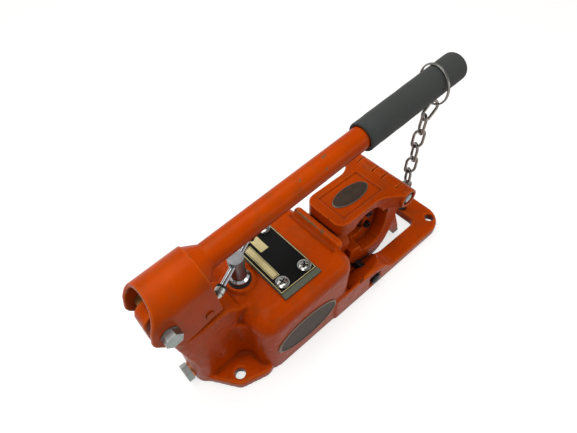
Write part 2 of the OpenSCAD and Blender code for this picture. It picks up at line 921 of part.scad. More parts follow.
module valve_spindle() {
  color(chrome)
    valve_frame()
      difference() {
        union() {
          translate([0, 0, valve_seat_z + run_fit])
            cylinder(h = collar_z + 10 - valve_seat_z, r = spindle_r);
          translate([0, 0, valve_seat_z - 2])
            cylinder(h = 2 + run_fit, r1 = 1, r2 = valve_seat_r - run_fit);
          translate([0, 0, collar_z + 7.3])
            cylinder(h = 18, r1 = 8.3, r2 = 7);
          translate([0, 0, collar_z + 25.3])
            cylinder(h = 11, r = 8.4);
        }
        x_cyl(-20, 20, t_bar_d / 2 + run_fit, 0, bar_z);
      }
}

module t_bar() {
  color(chrome)
    valve_frame()
      x_cyl(-t_bar_half + 11, t_bar_half - 11, t_bar_d / 2, 0, bar_z);
}

module t_bar_ends() {
  for (a = [0, 180])
    rotate([0, 0, a])
      children();
}

module t_bar_rings() {
  color(black)
    valve_frame()
      t_bar_ends()
        x_ring(t_bar_half - 13.2, t_bar_half - 11, 5.4, t_bar_d / 2, 0, bar_z);
}

module t_bar_screws() {
  color(zinc)
    valve_frame()
      t_bar_ends()
        difference() {
          union() {
            x_cyl(t_bar_half - 11, t_bar_half - 6, 5, 0, bar_z);
            x_cyl(t_bar_half - 6.5, t_bar_half - 4.5, 3.6, 0, bar_z);
            translate([t_bar_half - 4.8, 0, bar_z])
              rotate([0, 90, 0])
                cylinder(h = 4.8, r1 = 4.4, r2 = 1.8);
          }
          translate([t_bar_half, 0, bar_z])
            cube([4, 1.4, 12], center = true);
        }
}

// Handle bracket, a steel channel welded to the handle tube
module bracket_outline() {
  polygon([[1.6, bracket_top], [-2, 31], [-12, 13], [-16, 0], [-15, -5], [1, -33],
    [bracket_x1, -26.5], [bracket_x1, bracket_top]]);
}

module bracket_section(hw, top, r) {
  translate([-60, 0, 0])
    rotate([90, 0, 90])
      linear_extrude(160) {
        translate([-hw, -60])
          square([2 * hw, 60 + top - r]);
        translate([-hw + r, -60])
          square([2 * (hw - r), 60 + top]);
        for (y = [-1, 1] * (hw - r))
          translate([y, top - r])
            circle(r);
      }
}

module handle_bracket() {
  inner_x1 = bracket_x1 - bracket_wall;
  color(orange)
    handle_frame()
      difference() {
        intersection() {
          xz_slab(-bracket_hw, bracket_hw)
            bracket_outline();
          bracket_section(bracket_hw, bracket_top, bracket_r);
        }
        difference() {
          bracket_section(bracket_hw - bracket_wall, bracket_top - bracket_wall, bracket_r - bracket_wall);
          translate([inner_x1, -60, 4])
            cube([60, 120, 80]);
        }
        x_cyl(tube_x0, bracket_x1 + 10, tube_r, 0, tube_h);
        y_cyl(-bracket_hw - 1, bracket_hw + 1, pivot_d / 2 + run_fit, 0, 0);
        rotate([0, handle_tilt, 0])
          y_cyl(-bracket_hw - 1, bracket_hw + 1, cross_pin_d / 2, lever_arm, cross_z - pivot_z);
      }
}

module handle_tube() {
  color(orange)
    handle_frame()
      x_ring(tube_x0, handle_reach - 8, tube_r, tube_r - tube_wall, 0, tube_h);
}

// Foam grip, closed at its end and a little thicker towards the tip
module handle_grip() {
  swell = bend([grip_r, grip_l * 0.72], [grip_r + 0.3, grip_l * 0.8], [grip_tip_r, grip_l * 0.84], 4);
  tip = bend([grip_tip_r, grip_l - 9], [grip_tip_r, grip_l], [grip_tip_r - 9, grip_l]);
  color([0.17, 0.18, 0.18])
    handle_frame()
      translate([grip_x0, 0, tube_h])
        rotate([0, 90, 0])
          rotate_extrude()
            polygon(concat([[tube_r, 0], [grip_r - 1.5, 0], [grip_r, 1.5]], swell, tip,
              [[0, grip_l], [0, grip_l - 8], [tube_r, grip_l - 8]]));
}

// Pivot: bolt, nut, washers and the sleeve that the bracket turns on
module pivot_bolt() {
  color(zinc)
    translate([pivot_x, 0, pivot_z]) {
      y_cyl(-bracket_hw - washer_t, bracket_hw + washer_t + 12, pivot_d / 2);
      translate([0, -bracket_hw - washer_t, 0])
        rotate([90, 0, 0])
          rotate([0, 0, 12])
            hex_prism(bolt_af, bolt_head);
    }
}

module pivot_nut() {
  color(zinc)
    translate([pivot_x, bracket_hw + washer_t, pivot_z])
      rotate([-90, 0, 0])
        difference() {
          hex_prism(bolt_af, 10);
          translate([0, 0, -1])
            cylinder(h = 12, r = pivot_d / 2);
        }
}

module pivot_washers() {
  color(zinc)
    both_sides()
      difference() {
        y_cyl(-bracket_hw - washer_t, -bracket_hw - 0.1, washer_r, pivot_x, pivot_z);
        y_cyl(-bracket_hw - washer_t - 1, -bracket_hw + 1, pivot_d / 2, pivot_x, pivot_z);
      }
}

module pivot_sleeve() {
  inner = bracket_hw - bracket_wall - 0.1;
  color(steel)
    difference() {
      y_cyl(-inner, inner, pivot_d / 2 + sleeve_wall, pivot_x, pivot_z);
      y_cyl(-inner - 1, inner + 1, pivot_d / 2, pivot_x, pivot_z);
    }
}

// Pump plunger with a slotted head for the cross pin
module pump_plunger() {
  slot_r = cross_pin_d / 2 + 0.5;
  color(steel)
    difference() {
      union() {
        translate([plunger_x, 0, plunger_z0])
          cylinder(h = cross_z - 5 - plunger_z0, r = plunger_r);
        translate([plunger_x - slot_back - slot_r - 4, -9, cross_z - 9])
          cube([slot_back + slot_ahead + 2 * slot_r + 8, 18, 18]);
      }
      translate([plunger_x, 0, cross_z])
        for (x = [-slot_back, slot_ahead])
          y_cyl(-11, 11, slot_r, x, 0);
      translate([plunger_x - slot_back, -11, cross_z - slot_r])
        cube([slot_back + slot_ahead, 22, 2 * slot_r]);
    }
}

module cross_pin() {
  color(orange)
    y_cyl(-bracket_hw - 1.5, bracket_hw + 1.5, cross_pin_d / 2, plunger_x, cross_z);
}

module pump_gland() {
  color(steel)
    translate([plunger_x, 0, 0])
      difference() {
        union() {
          translate([0, 0, neck_h])
            cylinder(h = gland_h, r = gland_r, $fn = 6);
          translate([0, 0, neck_h - 2.5])
            cylinder(h = 2.5, r = plunger_r + 3);
        }
        translate([0, 0, neck_h - 8])
          cylinder(h = 20, r = plunger_r + run_fit);
      }
}

module pump_seal() {
  color(black)
    translate([plunger_x, 0, neck_h - 6])
      difference() {
        cylinder(h = 3.5, r = plunger_r + 3);
        translate([0, 0, -1])
          cylinder(h = 6, r = plunger_r + run_fit);
      }
}

// Plug that closes the drilled oil way
module rear_plug() {
  color(zinc)
    translate([neck_x0 - plug_washer_t, 0, duct_z]) {
      rotate([0, -90, 0])
        rotate([0, 0, 15])
          hex_prism(18, 7);
      x_cyl(0, 14, duct_r);
    }
}

module plug_washer() {
  color([0.72, 0.42, 0.25])
    x_ring(neck_x0 - plug_washer_t, neck_x0, 9, duct_r, 0, duct_z);
}

// Check valves of the pump. Each ball is pressed on its seat by a small hidden spring.
function seated(ball_r, hole_r) = sqrt(ball_r * ball_r - hole_r * hole_r) + 0.02;

module outlet_seat() {
  color([0.75, 0.6, 0.3])
    x_ring(outlet_x - 6, outlet_x, duct_r, 2, 0, duct_z);
}

module outlet_ball() {
  color(steel)
    translate([outlet_x + seated(3.8, 2), 0, duct_z])
      sphere(3.8);
}

module outlet_spring() {
  color(steel)
    x_ring(outlet_x + seated(3.8, 2) + 3.9, -135, 3.4, 2.4, 0, duct_z);
}

module inlet_seat() {
  color([0.75, 0.6, 0.3])
    x_ring(inlet_x, well_x0 - 0.1, inlet_r, 1.6, inlet_y, inlet_z);
}

module inlet_ball() {
  color(steel)
    translate([inlet_x - seated(3, 1.6), inlet_y, inlet_z])
      sphere(3);
}

module inlet_spring() {
  color(steel)
    x_ring(inlet_x - 10, inlet_x - seated(3, 1.6) - 3.1, 2.8, 2, inlet_y, inlet_z);
}

// Keeper ring, a split ring of two turns of wire round the grip
module keeper_ring() {
  color(steel)
    handle_frame()
      translate([ring_at, 0, tube_h + ring_seat - ring_id / 2])
        rotate([0, 0, ring_turn])
          rotate([0, 90 + ring_lean, 0])
            for (z = [-1, 1] * ring_wire * 0.49)
              translate([0, 0, z])
                rotate_extrude()
                  translate([ring_mid_r, 0])
                    circle(ring_wire / 2, $fn = 16);
}

// One link along Z, bent from wire
module link() {
  half = (chain_pitch + chain_wire) / 2 - link_r;
  for (x = [-1, 1] * link_r)
    translate([x, 0, -half])
      cylinder(h = 2 * half, r = chain_wire / 2, $fn = 16);
  for (s = [0, 180])
    rotate([0, s, 0])
      translate([0, 0, half])
        rotate([90, 0, 0])
          rotate_extrude(angle = 180)
            translate([link_r, 0])
              circle(chain_wire / 2, $fn = 16);
}

// Chain, one link between each point of the route and the next, turned about its own axis
module chain() {
  color([0.35, 0.34, 0.33])
    for (i = [0:len(chain_route) - 2]) {
      step = chain_route[i + 1] - chain_route[i];
      middle = (chain_route[i + 1] + chain_route[i]) / 2;
      translate([middle[0], chain_y, middle[1]])
        rotate([0, atan2(-step[0], -step[1]), 0])
          rotate([0, 0, chain_turn[i]])
            link();
    }
}

// Eye bolt that holds the foot of the chain on the front bar
module chain_eye() {
  color([0.35, 0.34, 0.33])
    translate([eye_x, chain_y, 0]) {
      cylinder(h = eye_z - eye_r, r = eye_shank_r);
      translate([0, 0, bar_t])
        cylinder(h = 4, r = 6, $fn = 6);
      translate([0, 0, eye_z])
        rotate([90, 0, 50])
          rotate_extrude()
            translate([eye_r, 0])
              circle(eye_wire / 2, $fn = 16);
    }
}

body_casting();
yoke();
cylinder_nose();
lock_ring();
rod_seal();
ram();
piston_seal();
return_spring();
blade();
blade_screws();
anvil();
anvil_screws();
gate();
gate_badge();
hinge_pin();
side_bolts();
side_badges();
reservoir_cover();
cover_gasket();
nameplate();
cover_screws();
reservoir_bladder();
valve_gasket();
valve_collar();
valve_spindle();
t_bar();
t_bar_screws();
t_bar_rings();
handle_bracket();
handle_tube();
handle_grip();
pivot_bolt();
pivot_nut();
pivot_sleeve();
pivot_washers();
pump_plunger();
cross_pin();
pump_gland();
pump_seal();
rear_plug();
plug_washer();
outlet_seat();
outlet_ball();
outlet_spring();
inlet_seat();
inlet_ball();
inlet_spring();
keeper_ring();
chain();
chain_eye();
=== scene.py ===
import json
import math
import bpy
import bmesh
import numpy as np
from mathutils import Matrix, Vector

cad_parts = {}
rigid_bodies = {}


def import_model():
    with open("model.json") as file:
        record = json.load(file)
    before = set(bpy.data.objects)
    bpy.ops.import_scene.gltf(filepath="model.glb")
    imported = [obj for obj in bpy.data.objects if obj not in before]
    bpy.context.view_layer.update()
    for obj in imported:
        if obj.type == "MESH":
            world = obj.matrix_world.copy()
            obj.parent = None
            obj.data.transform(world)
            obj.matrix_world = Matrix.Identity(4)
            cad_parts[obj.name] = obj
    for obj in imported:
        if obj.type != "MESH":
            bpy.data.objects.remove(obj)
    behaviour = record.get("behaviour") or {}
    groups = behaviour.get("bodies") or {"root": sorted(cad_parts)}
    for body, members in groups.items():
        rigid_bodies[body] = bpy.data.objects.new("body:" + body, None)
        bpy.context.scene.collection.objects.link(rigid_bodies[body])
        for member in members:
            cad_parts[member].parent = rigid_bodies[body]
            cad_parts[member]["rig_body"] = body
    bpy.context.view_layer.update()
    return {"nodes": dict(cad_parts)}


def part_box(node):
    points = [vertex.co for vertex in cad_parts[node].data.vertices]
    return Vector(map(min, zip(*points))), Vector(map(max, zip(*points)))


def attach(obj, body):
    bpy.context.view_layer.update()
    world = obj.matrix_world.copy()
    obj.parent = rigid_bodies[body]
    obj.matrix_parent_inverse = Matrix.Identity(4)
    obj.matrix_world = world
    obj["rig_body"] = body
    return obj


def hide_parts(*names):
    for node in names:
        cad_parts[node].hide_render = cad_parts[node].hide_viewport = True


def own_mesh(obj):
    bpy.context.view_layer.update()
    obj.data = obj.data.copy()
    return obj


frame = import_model()
node = frame["nodes"]
scene = bpy.context.scene


# The camera stands behind and above the tool's near rear corner and looks down along it. Its place,
# turn and lens were worked out from the mounting holes, the handle and the housing in the photograph.
def stand(thing, axes, at):
    """Puts a camera or a lamp at a point, with its x, y and z axes along the three given ones."""
    place = np.eye(4)
    place[:3, :3] = np.stack(axes, 1)
    place[:3, 3] = at
    thing.matrix_world = Matrix(place.tolist())
    scene.collection.objects.link(thing)


MM = 0.001
picture_w, focal_px, film_w = 577, 449, 36
camera_at = np.array([-225.6, -214.5, 487]) * MM
turn, lift, roll = (math.radians(angle) for angle in (39.4, 50.6, -3))
across = np.array([math.cos(turn), -math.sin(turn), 0])
upward = np.array([math.sin(turn) * math.sin(lift), math.cos(turn) * math.sin(lift), math.cos(lift)])
ahead = np.array([math.sin(turn) * math.cos(lift), math.cos(turn) * math.cos(lift), -math.sin(lift)])
right = math.cos(roll) * across + math.sin(roll) * upward
up = math.cos(roll) * upward - math.sin(roll) * across
lens = bpy.data.cameras.new("camera")
lens.sensor_fit = "HORIZONTAL"
lens.sensor_width = film_w
lens.lens = focal_px / picture_w * film_w
camera = bpy.data.objects.new("camera", lens)
stand(camera, (right, up, -ahead), camera_at)
scene.camera = camera
scene.view_settings.view_transform = "Standard"


# The studio: a pale floor that goes white to the lens and in reflections but keeps the tool's shadow,
# a large soft box overhead, one low on the near side, a small one over the pump end, and a soft sky.
def linear(code):
    """An sRGB hex colour as the linear values that the shaders take."""
    s = np.array([int(code[i:i + 2], 16) for i in (1, 3, 5)]) / 255
    return (*np.where(s <= 0.04045, s / 12.92, ((s + 0.055) / 1.055) ** 2.4), 1)


def add(tree, kind, inputs=None, **settings):
    """Adds one node: settings are its properties, and each input gets a value, a node or a socket."""
    made = tree.nodes.new("ShaderNode" + kind)
    for name, value in settings.items():
        setattr(made, name, value)
    for name, value in (inputs or {}).items():
        if isinstance(value, bpy.types.Node):
            value = value.outputs[0]
        if isinstance(value, bpy.types.NodeSocket):
            tree.links.new(value, made.inputs[name])
        else:
            made.inputs[name].default_value = value
    return made


def seen(tree):
    """The light path, and 1 for the rays that show a background: camera, glossy and transmission rays."""
    rays = add(tree, "LightPath")
    mirror = add(tree, "Math", {0: rays.outputs["Is Glossy Ray"], 1: rays.outputs["Is Transmission Ray"]},
                 operation="MAXIMUM")
    return rays, add(tree, "Math", {0: rays.outputs["Is Camera Ray"], 1: mirror}, operation="MAXIMUM")


def soft_box(name, size, power, at, aim):
    """A rectangular area lamp at a point, turned to face another point, all in metres. It hangs level,
    and one that is almost straight overhead lies square to Y."""
    lamp = bpy.data.lights.new(name, "AREA")
    lamp.shape = "RECTANGLE"
    lamp.size, lamp.size_y = size
    lamp.energy = power
    back = np.array(at, float) - np.array(aim, float)
    back /= np.linalg.norm(back)
    side = np.cross((0, 0, 1) if abs(back[2]) < 0.95 else (0, 1, 0), back)
    side /= np.linalg.norm(side)
    stand(bpy.data.objects.new(name, lamp), (side, np.cross(back, side), back), at)


# White paper. To the lens and in reflections it glows most of the way to white over a grey that takes
# the shadow, and for every other ray it is plain grey, so that it throws little light on the tool.
floor_reach = 4
corners = [(-floor_reach, -floor_reach, 0), (floor_reach, -floor_reach, 0),
           (floor_reach, floor_reach, 0), (-floor_reach, floor_reach, 0)]
floor_mesh = bpy.data.meshes.new("floor")
floor_mesh.from_pydata(corners, [], [(0, 1, 2, 3)])
floor = bpy.data.objects.new("floor", floor_mesh)
scene.collection.objects.link(floor)
paper = bpy.data.materials.new("white_paper_sweep")
paper.use_nodes = True
tree = paper.node_tree
tree.nodes.clear()
glow = add(tree, "Emission", {"Color": linear("#ffffff"), "Strength": 0.66})
shown = add(tree, "AddShader", {0: glow, 1: add(tree, "BsdfDiffuse", {"Color": linear("#b4b4b4")})})
bounce = add(tree, "BsdfDiffuse", {"Color": linear("#807e7c")})
pick = add(tree, "MixShader", {0: seen(tree)[1], 1: bounce, 2: shown})
add(tree, "OutputMaterial", {"Surface": pick})
floor_mesh.materials.append(paper)

# The sky is white to the lens. Metal sees it fade from 0.9 low down to 0.25 overhead, so that its
# edges stay crisp, and as a light it is soft and faint, a little stronger from above.
scene.world = scene.world or bpy.data.worlds.new("sky")
scene.world.use_nodes = True
tree = scene.world.node_tree
tree.nodes.clear()
heading = add(tree, "TexCoord").outputs["Generated"]
height = add(tree, "SeparateXYZ", {0: heading}).outputs["Z"]
fade = add(tree, "MapRange", {"Value": height, "From Min": 0.1, "From Max": 0.7,
                              "To Min": 0.9, "To Max": 0.25})
rays, shown = seen(tree)
level = add(tree, "Math", {0: rays.outputs["Is Camera Ray"], 1: fade}, operation="MAXIMUM")
soft = add(tree, "MapRange", {"Value": height, "From Min": -0.1, "From Max": 0.8,
                              "To Min": 0.16, "To Max": 0.5})
skylight = add(tree, "Background", {"Color": linear("#fffaf2"), "Strength": soft})
backdrop = add(tree, "Background", {"Color": linear("#ffffff"), "Strength": level})
add(tree, "OutputWorld", {"Surface": add(tree, "MixShader", {0: shown, 1: skylight, 2: backdrop})})
soft_box("overhead_box", (1.1, 0.9), 10.4, (-0.15, 0.35, 1.35), (0, 0, 0.05))
soft_box("near_box", (0.7, 0.35), 2.6, (0.5, -1.05, 0.5), (0, 0, 0.1))
soft_box("key_box", (0.3, 0.3), 1.3, (-0.45, -0.2, 0.8), (-0.12, 0, 0.1))


# The body is one iron casting: base loop, rails, lugs, housing, pump neck and ear. It is sand cast,
# fettled and sprayed with orange machine enamel: soft edges, low lumps and orange peel, with painted
# shade in its nooks and two patches on the housing's ridge rubbed down to the primer.
def finish(name):
    """A new material, its empty tree, and its object coordinates."""
    made = bpy.data.materials.new(name)
    made.use_nodes = True
    made.node_tree.nodes.clear()
    return made, made.node_tree, add(made.node_tree, "TexCoord").outputs["Object"]


def coated(made, sockets):
    """Closes a material with its shader, whose sockets get constants or the nodes that vary them."""
    shader = add(made.node_tree, "BsdfPrincipled", sockets)
    add(made.node_tree, "OutputMaterial", {"Surface": shader})
    return made


def lumps(place, size_mm, detail=3):
    """The inputs of a noise whose lumps measure size_mm."""
    return {"Vector": place, "Scale": 1 / (size_mm * MM), "Detail": detail}


def mottled(tree, place, size_mm, first, second, detail=3):
    """Two hex colours that drift into each other over lumps of size_mm."""
    drift = add(tree, "TexNoise", lumps(place, size_mm, detail))
    return add(tree, "MixRGB", {0: drift, 1: linear(first), 2: linear(second)})


def uneven(tree, place, size_mm, least, most):
    """A number that wanders between least and most over lumps of size_mm."""
    drift = add(tree, "TexNoise", lumps(place, size_mm))
    return add(tree, "MapRange", {"Value": drift, "To Min": least, "To Max": most})


def rippled(tree, place, size_mm, depth_mm, strength, detail=3, **over):
    """A relief of lumps of size_mm and up to depth_mm, over another one if that is given as Normal."""
    rise = add(tree, "TexNoise", lumps(place, size_mm, detail))
    return add(tree, "Bump", {"Height": rise, "Distance": depth_mm * MM, "Strength": strength, **over})


def worn(tree, place, tone, centre_mm, half_mm):
    """Mixes dull olive primer into a tone, patchily, within an ellipsoid round a place that is rubbed."""
    local = add(tree, "VectorMath", {0: place, 1: [c * MM for c in centre_mm]}, operation="SUBTRACT")
    local = add(tree, "VectorMath", {0: local, 1: [h * MM for h in half_mm]}, operation="DIVIDE")
    away = add(tree, "VectorMath", {0: local}, operation="LENGTH").outputs["Value"]
    away = add(tree, "Math", {0: away, 1: add(tree, "TexNoise", lumps(place, 3, 4))})
    mask = add(tree, "MapRange", {"Value": away, "From Min": 1.5, "From Max": 1.1, "To Max": 0.8})
    return add(tree, "MixRGB", {0: mask, 1: tone, 2: linear("#5f5a3f")})


def enamel(name, lump_mm, lump_depth_mm, chip_from, rubbed):
    """Orange machine enamel: satin and a little uneven, pale on edges as painted highlight and thin paint,
    darker in its grooves, painted shade in its corners and pockets, and a few chips down to dark primer.
    Orange peel shows as a fine ripple over the lumps of the part."""
    made, tree, place = finish(name)
    edge = add(tree, "Attribute", attribute_name="edge").outputs["Fac"]
    tone = mottled(tree, place, 42, "#a43200", "#c64900")
    drift = add(tree, "TexNoise", lumps(place, 15, 6))
    blot = add(tree, "Math", {0: add(tree, "TexNoise", lumps(place, 7, 5)), 1: 0.5}, operation="MULTIPLY")
    pale_edge_highlight_and_wear = add(tree, "Math", {0: edge, 1: blot})
    # Two ambient occlusion masks paint shade: one in narrow corners, one deep in the pockets.
    painted_shade_nook = add(tree, "AmbientOcclusion", {"Distance": 4 * MM}, samples=6).outputs["AO"]
    painted_shade_pocket = add(tree, "AmbientOcclusion", {"Distance": 26 * MM}, samples=6).outputs["AO"]
    # Each layer over the tone: what it follows, where it starts and is full, how dense, and its colour.
    for source, start, full, most, code in (
            (drift, 0.48, 0.72, 0.36, "#7c4420"),    # dust and handling, in drifts
            (pale_edge_highlight_and_wear, 0.5, 1.2, 0.3, "#d96a24"),       # painted highlight and thin paint on sharp edges
            (edge, -0.14, -0.7, 0.6, "#641f04"),     # darker in grooves
            (painted_shade_nook, 0.66, 0.25, 0.85, "#2a0e04"),     # painted shade in narrow corners and between parts
            (painted_shade_pocket, 0.62, 0.2, 0.75, "#3a1205")):   # painted shade deep in the pockets
        cover = add(tree, "MapRange", {"Value": source, "From Min": start, "From Max": full,
                                       "To Max": most})
        tone = add(tree, "MixRGB", {0: cover, 1: tone, 2: linear(code)})
    for centre_mm, half_mm in rubbed:
        tone = worn(tree, place, tone, centre_mm, half_mm)
    # Chips are flecks on edges, and only where a broad noise lets them come in groups.
    fleck = add(tree, "MixRGB", {0: 0.4, 1: add(tree, "TexNoise", lumps(place, 5, 4)),
                                 2: add(tree, "TexNoise", lumps(place, 1.6, 2))})
    group = add(tree, "MapRange", {"Value": add(tree, "TexNoise", lumps(place, 24, 2)),
                                   "From Min": 0.54, "From Max": 0.68})
    chip = add(tree, "Math", {0: fleck, 1: edge}, operation="MULTIPLY")
    chip = add(tree, "Math", {0: chip, 1: group}, operation="MULTIPLY")
    chip = add(tree, "MapRange", {"Value": chip, "From Min": chip_from, "From Max": chip_from + 0.09,
                                  "To Max": 0.8})
    tone = add(tree, "MixRGB", {0: chip, 1: tone, 2: linear("#4d3120")})
    peel = rippled(tree, place, 1.6, 0.05, 0.7, detail=2)
    skin_relief = rippled(tree, place, lump_mm, lump_depth_mm, 0.8, Normal=peel)
    return coated(made, {"Base Color": tone, "Roughness": uneven(tree, place, 18, 0.22, 0.36),
                         "Normal": skin_relief, "IOR": 1.48, "Specular IOR Level": 0.1,
                         "Specular Tint": linear("#ffc8a0")})


def dress(piece, material):
    """Gives a piece or a CAD node one material."""
    piece.data.materials.clear()
    piece.data.materials.append(material)


def points_of(piece):
    """A piece's points as rows of x, y and z."""
    flat = np.empty(len(piece.data.vertices) * 3, np.float32)
    piece.data.vertices.foreach_get("co", flat)
    return flat.reshape(-1, 3)


def store(piece, name, values):
    """Stores one number for each point of a piece, under the name by which its material reads it."""
    field = piece.data.attributes.new(name, "FLOAT", "POINT")
    field.data.foreach_set("value", values.astype(np.float32))


def mark_edges(piece, radius_mm, spread):
    """Stores how sharply the surface bends at each vertex as the attribute edge: 1 on a ridge of that
    radius, -1 in a groove. It is the mean over a vertex's edges of how much the normals turn apart, and
    it is spread to the neighbours a number of times."""
    mesh = piece.data
    count = len(mesh.vertices)
    at = points_of(piece)
    normal = np.empty(count * 3, np.float32)
    mesh.vertex_normals.foreach_get("vector", normal)
    normal = normal.reshape(-1, 3)
    ends = np.empty(len(mesh.edges) * 2, np.int32)
    mesh.edges.foreach_get("vertices", ends)
    a, b = ends.reshape(-1, 2).T
    step = at[a] - at[b]
    bend = ((normal[a] - normal[b]) * step).sum(1) / np.maximum((step ** 2).sum(1), 1e-12)
    valence = np.maximum(np.bincount(a, minlength=count) + np.bincount(b, minlength=count), 1)
    field = (np.bincount(a, bend, count) + np.bincount(b, bend, count)) / valence
    for _ in range(spread):
        field = (field + np.bincount(a, field[b], count) + np.bincount(b, field[a], count)) / (valence + 1)
    store(piece, "edge", np.clip(field * 2 * radius_mm * MM, -1, 1))


def skin(name, voxel_mm, edge_mm, material):
    """A copy of a CAD node's mesh with its sharp edges rounded as a casting's or a pressing's are: its
    doubles are merged, it is remeshed into even voxels, and the mesh is smoothed four times."""
    made = bpy.data.objects.new(name + "_skin", node[name].data.copy())
    scene.collection.objects.link(made)
    made.data.materials.clear()
    shell = bmesh.new()
    shell.from_mesh(made.data)
    bmesh.ops.remove_doubles(shell, verts=shell.verts, dist=0.002 * MM)
    shell.to_mesh(made.data)
    shell.free()
    remesh = made.modifiers.new("remesh", "REMESH")
    remesh.mode = "VOXEL"
    remesh.voxel_size = voxel_mm * MM
    smooth = made.modifiers.new("smooth", "SMOOTH")
    smooth.factor = 0.5
    smooth.iterations = 4
    bpy.context.view_layer.update()
    rounded = bpy.data.meshes.new_from_object(made.evaluated_get(bpy.context.evaluated_depsgraph_get()))
    made.modifiers.clear()
    made.data = rounded
    rounded.polygons.foreach_set("use_smooth", np.ones(len(rounded.polygons), bool))
    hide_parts(name)
    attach(made, node[name]["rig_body"])
    mark_edges(made, edge_mm, 2)
    dress(made, material)


cast_paint = enamel("cast_iron_enamel", 7, 1.1, 0.33,
                    rubbed=[((-11.5, 14, 100), (1.6, 24, 4)), ((-11.5, -9, 100), (3, 3.6, 4))])
skin("body_casting", 1.45, 3, cast_paint)


# The yoke is a steel forging, hooked round the throat, and carries the gate on its rear lugs. Both are
# blasted and sprayed in the same enamel as the casting.
skin("yoke", 1.0, 2.5, cast_paint)
skin("gate", 0.8, 2, cast_paint)


# The cylinder's steel gland joins housing and yoke, with a lock ring round it. They are turned from bar
# and left bare, a dull grey with turning rings and a film of oil. The ram, blade, anvil, pump and ball
# valves are of the same bare steel.
def turned_steel():
    """Bare machined steel: a grey metal with cutter marks across it and darker oily patches. The real
    marks are too fine to show, so they are drawn 2.4 mm apart. A wave of scale 1 repeats each pi / 10 m."""
    made, tree, place = finish("machined_steel")
    patch = add(tree, "TexNoise", lumps(place, 12))
    mark_mm = 2.369
    marks = add(tree, "TexWave", {"Vector": place, "Scale": math.pi / 10 / (mark_mm * MM), "Distortion": 0.6,
                                  "Detail": 2}, bands_direction="X")
    return coated(made, {
        "Base Color": add(tree, "MixRGB", {0: patch, 1: linear("#a5a5a3"), 2: linear("#8b8a86")}),
        "Roughness": add(tree, "MapRange", {"Value": patch, "To Min": 0.28, "To Max": 0.44}),
        "Normal": add(tree, "Bump", {"Height": marks, "Distance": 0.01 * MM, "Strength": 0.5}),
        "Metallic": 1.0})


steel = turned_steel()
for name in ("cylinder_nose", "lock_ring", "ram", "blade", "anvil", "pump_plunger", "pump_gland",
             "inlet_seat", "inlet_ball", "outlet_seat", "outlet_ball"):
    dress(node[name], steel)


# The side bolts, the screws of the anvil and blade, and the eye at the foot of the chain are steel with
# an oiled black oxide skin: a dark brown-grey metal with a soft sheen.
def black_oxide():
    """Blackened steel: nearly black, half glossy from its oil, a touch paler where it was handled."""
    made, tree, place = finish("black_oxide")
    return coated(made, {"Base Color": mottled(tree, place, 4, "#1c1c1d", "#3a3a3b"),
                         "Roughness": uneven(tree, place, 2, 0.3, 0.5), "Metallic": 0.85})


blackened = black_oxide()
for name in ("side_bolts", "anvil_screws", "blade_screws", "chain_eye"):
    dress(node[name], blackened)


# Seals, gaskets, the T-bar's rings and the reservoir's bladder are moulded nitrile rubber, matt black.
# They sit in grooves or are clamped between metal faces.
def nitrile():
    """Nitrile rubber: dark and matt, with the slight bloom and grain of a moulding."""
    made, tree, place = finish("nitrile_rubber")
    return coated(made, {"Base Color": mottled(tree, place, 3, "#121212", "#232323"),
                         "Normal": rippled(tree, place, 0.6, 0.03, 0.6), "Roughness": 0.72, "IOR": 1.52})


rubber = nitrile()
for name in ("valve_gasket", "cover_gasket", "reservoir_bladder", "piston_seal", "rod_seal", "pump_seal",
             "t_bar_rings"):
    dress(node[name], rubber)


# Three springs of round steel wire: the long one pulls the ram back, and the two short ones close the
# ball valves.
def surface(name, grids, material, body):
    """A piece from grids of points, u by v. Neighbours become quads, and each grid closes round v. Its
    doubles are merged, its faces turned outwards, and edges of over 38 degrees kept sharp."""
    points, faces, start = [], [], 0
    for grid in grids:
        nu, nv = grid.shape[:2]
        i, j = np.meshgrid(np.arange(nu - 1), np.arange(nv), indexing="ij")
        beside = (j + 1) % nv
        quads = np.stack([i * nv + j, (i + 1) * nv + j, (i + 1) * nv + beside, i * nv + beside], -1)
        points.append(grid.reshape(-1, 3))
        faces.append(quads.reshape(-1, 4) + start)
        start += nu * nv
    mesh = bpy.data.meshes.new(name)
    mesh.from_pydata(np.concatenate(points).tolist(), [], np.concatenate(faces).tolist())
    work = bmesh.new()
    work.from_mesh(mesh)
    bmesh.ops.remove_doubles(work, verts=work.verts, dist=0.001 * MM)
    bmesh.ops.recalc_face_normals(work, faces=work.faces)
    work.to_mesh(mesh)
    work.free()
    mesh.polygons.foreach_set("use_smooth", np.ones(len(mesh.polygons), bool))
    mesh.set_sharp_from_angle(angle=math.radians(38))
    piece = bpy.data.objects.new(name, mesh)
    scene.collection.objects.link(piece)
    dress(piece, material)
    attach(piece, body)
    return piece


def span(name):
    """A CAD node's box as four rows in metres: its low corner, high corner, centre and half size."""
    low, high = np.array(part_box(name))
    return np.array([low, high, (low + high) / 2, (high - low) / 2])


def spring_coil(name, wire, turns):
    """Wire wound along X inside the CAD sleeve's box: angle u along the wire and v round it. The radius
    is the sleeve's less half a wire, and the pitch is even. Each end is closed to a point."""
    low, high, centre, half = span(name) / MM
    u = np.linspace(0, turns * 2 * math.pi, 26 * turns)[:, None]
    v = np.linspace(0, 2 * math.pi, 12, endpoint=False)
    thick = wire / 2 * np.clip(np.minimum(u, u[-1] - u) / 0.1, 0, 1) ** 0.5
    x = low[0] + wire / 2 + (high[0] - low[0] - wire) * u / u[-1] + thick * np.sin(v)
    radius = half[2] - wire / 2 + thick * np.cos(v)
    return MM * np.stack([x, centre[1] + radius * np.cos(u), centre[2] + radius * np.sin(u)], -1)


